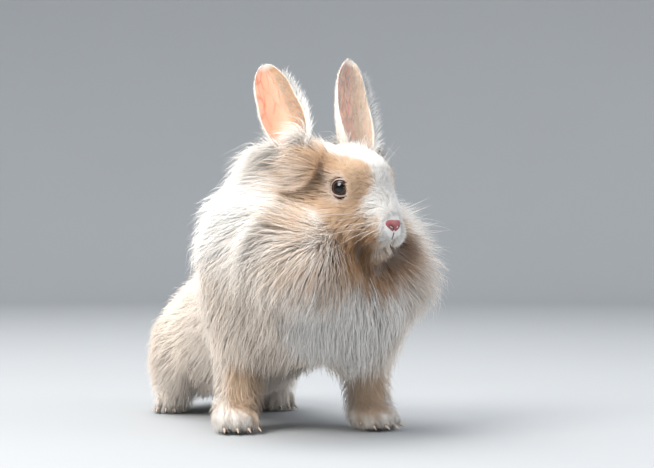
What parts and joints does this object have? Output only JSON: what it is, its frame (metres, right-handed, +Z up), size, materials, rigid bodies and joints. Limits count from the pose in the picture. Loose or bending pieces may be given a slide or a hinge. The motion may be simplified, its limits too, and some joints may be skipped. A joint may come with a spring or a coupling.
{
  "type": "lionhead rabbit figure",
  "caption": "Life-size still model of a lionhead rabbit standing alert on its forelegs, head turned, with a full mane of long wool.",
  "frame": {"origin": "on the floor, under the middle of the rabbit's bounding box", "axes": "+Z up, -Y the way the rabbit faces, +X its left side"},
  "size_m": [0.1818, 0.3398, 0.2857],
  "materials": {
    "coat_cream": "soft long fur",
    "coat_white": "soft long wool",
    "coat_tan": "short soft fur",
    "ear_skin": "thin skin with short down",
    "eye_dark": "wet gloss",
    "nose_pink": "damp",
    "claw_horn": "satin"
  },
  "bodies": {
    "root": {"head": "coat_tan", "neck": "coat_white", "trunk": "coat_cream", "tail": "coat_white", "ear_left": "ear_skin", "ear_right": "ear_skin", "eye_left": "eye_dark", "eye_right": "eye_dark", "nose": "nose_pink", "foreleg_left": "coat_cream", "foreleg_right": "coat_cream", "forepaw_left": "coat_white", "forepaw_right": "coat_white", "thigh_left": "coat_cream", "thigh_right": "coat_cream", "hind_foot_left": "coat_white", "hind_foot_right": "coat_white", "claw_fore_left_1": "claw_horn", "claw_fore_left_2": "claw_horn", "claw_fore_left_3": "claw_horn", "claw_fore_left_4": "claw_horn", "claw_fore_left_5": "claw_horn", "claw_fore_right_1": "claw_horn", "claw_fore_right_2": "claw_horn", "claw_fore_right_3": "claw_horn", "claw_fore_right_4": "claw_horn", "claw_fore_right_5": "claw_horn", "claw_hind_left_1": "claw_horn", "claw_hind_left_2": "claw_horn", "claw_hind_left_3": "claw_horn", "claw_hind_left_4": "claw_horn", "claw_hind_right_1": "claw_horn", "claw_hind_right_2": "claw_horn", "claw_hind_right_3": "claw_horn", "claw_hind_right_4": "claw_horn"}
  },
  "joints": []
}
